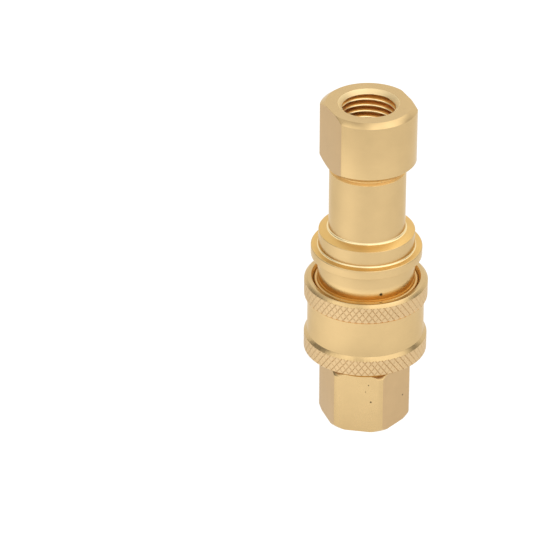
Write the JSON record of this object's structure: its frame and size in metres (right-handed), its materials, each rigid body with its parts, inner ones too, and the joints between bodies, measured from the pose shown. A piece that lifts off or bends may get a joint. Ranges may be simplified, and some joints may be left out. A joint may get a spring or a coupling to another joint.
{
  "type": "quick disconnect coupler",
  "caption": "Straight brass ball-lock quick coupling, socket and plug joined: hexagonal port end, knurled sliding sleeve, flanged plug with a wrench-flatted port end and shut-off valves.",
  "frame": {"origin": "on the coupling's axis, in the plane of the hexagonal port face that it stands on", "axes": "+Z along the coupling's axis from the socket's port to the plug's port, +Y normal to a hexagon flat"},
  "size_m": [0.028, 0.028, 0.08],
  "materials": {
    "brass_satin": "satin, fine turning lines",
    "brass_knurled": "satin, diamond knurled bands",
    "brass_wire": "drawn wire, bright",
    "brass_inner": "machined",
    "spring_steel": "drawn wire",
    "ball_steel": "polished",
    "seal_rubber": "moulded, matt",
    "backup_plastic": "white, matt"
  },
  "bodies": {
    "socket": {"socket_adapter": "brass_satin", "socket_body": "brass_satin", "adapter_seal": "seal_rubber", "backup_ring": "backup_plastic", "sleeve_stop_ring": "brass_wire", "socket_valve_guide": "brass_inner", "socket_valve_spring": "spring_steel"},
    "sleeve_spring": {"sleeve_spring": "spring_steel"},
    "sleeve": {"sleeve": "brass_knurled"},
    "locking_ball_1": {"locking_ball_1": "ball_steel"},
    "locking_ball_2": {"locking_ball_2": "ball_steel"},
    "locking_ball_3": {"locking_ball_3": "ball_steel"},
    "locking_ball_4": {"locking_ball_4": "ball_steel"},
    "locking_ball_5": {"locking_ball_5": "ball_steel"},
    "locking_ball_6": {"locking_ball_6": "ball_steel"},
    "socket_valve": {"socket_poppet": "brass_inner", "socket_poppet_seal": "seal_rubber"},
    "probe_seal": {"probe_seal": "seal_rubber"},
    "plug": {"plug_body": "brass_satin", "plug_head": "brass_satin", "head_seal": "seal_rubber", "plug_valve_guide": "brass_inner", "guide_retaining_ring": "spring_steel", "plug_valve_spring": "spring_steel"},
    "plug_valve": {"plug_poppet": "brass_inner", "plug_poppet_seal": "seal_rubber"}
  },
  "joints": [
    {"name": "sleeve_swivel", "type": "hinge", "parent": "socket", "child": "sleeve_spring", "pos_m": [0, 0, 0.027], "axis": [0, 0, 1], "continuous": true},
    {"name": "sleeve_slide", "type": "slide", "parent": "sleeve_spring", "child": "sleeve", "axis": [0, 0, -1], "range_m": [0, 0.0045], "stiffness_N_per_m": 1500, "springref_m": -0.006, "deforming": ["sleeve_spring"]},
    {"name": "locking_ball_1_slide", "type": "slide", "parent": "socket", "child": "locking_ball_1", "axis": [1, 0, 0], "range_m": [0, 0.00109]},
    {"name": "locking_ball_2_slide", "type": "slide", "parent": "socket", "child": "locking_ball_2", "axis": [0.5, 0.866, 0], "range_m": [0, 0.00109]},
    {"name": "locking_ball_3_slide", "type": "slide", "parent": "socket", "child": "locking_ball_3", "axis": [-0.5, 0.866, 0], "range_m": [0, 0.00109]},
    {"name": "locking_ball_4_slide", "type": "slide", "parent": "socket", "child": "locking_ball_4", "axis": [-1, 0, 0], "range_m": [0, 0.00109]},
    {"name": "locking_ball_5_slide", "type": "slide", "parent": "socket", "child": "locking_ball_5", "axis": [-0.5, -0.866, 0], "range_m": [0, 0.00109]},
    {"name": "locking_ball_6_slide", "type": "slide", "parent": "socket", "child": "locking_ball_6", "axis": [0.5, -0.866, 0], "range_m": [0, 0.00109]},
    {"name": "socket_valve_slide", "type": "slide", "parent": "socket", "child": "socket_valve", "axis": [0, 0, 1], "range_m": [0, 0.00113], "deforming": ["socket_valve_spring"]},
    {"name": "plug_swivel", "type": "hinge", "parent": "socket", "child": "probe_seal", "pos_m": [0, 0, 0.026], "axis": [0, 0, 1], "continuous": true},
    {"name": "plug_slide", "type": "slide", "parent": "probe_seal", "child": "plug", "axis": [0, 0, 1], "range_m": [0, 0.00226]},
    {"name": "plug_valve_slide", "type": "slide", "parent": "plug", "child": "plug_valve", "axis": [0, 0, -1], "range_m": [0, 0.00113], "deforming": ["plug_valve_spring"]}
  ],
  "couplings": [
    {"joint": "locking_ball_1_slide", "follows": "sleeve_slide", "ratio": 0.24},
    {"joint": "locking_ball_2_slide", "follows": "sleeve_slide", "ratio": 0.24},
    {"joint": "locking_ball_3_slide", "follows": "sleeve_slide", "ratio": 0.24},
    {"joint": "locking_ball_4_slide", "follows": "sleeve_slide", "ratio": 0.24},
    {"joint": "locking_ball_5_slide", "follows": "sleeve_slide", "ratio": 0.24},
    {"joint": "locking_ball_6_slide", "follows": "sleeve_slide", "ratio": 0.24},
    {"joint": "plug_slide", "follows": "sleeve_slide", "ratio": 0.5},
    {"joint": "socket_valve_slide", "follows": "sleeve_slide", "ratio": 0.25},
    {"joint": "plug_valve_slide", "follows": "sleeve_slide", "ratio": 0.25}
  ]
}
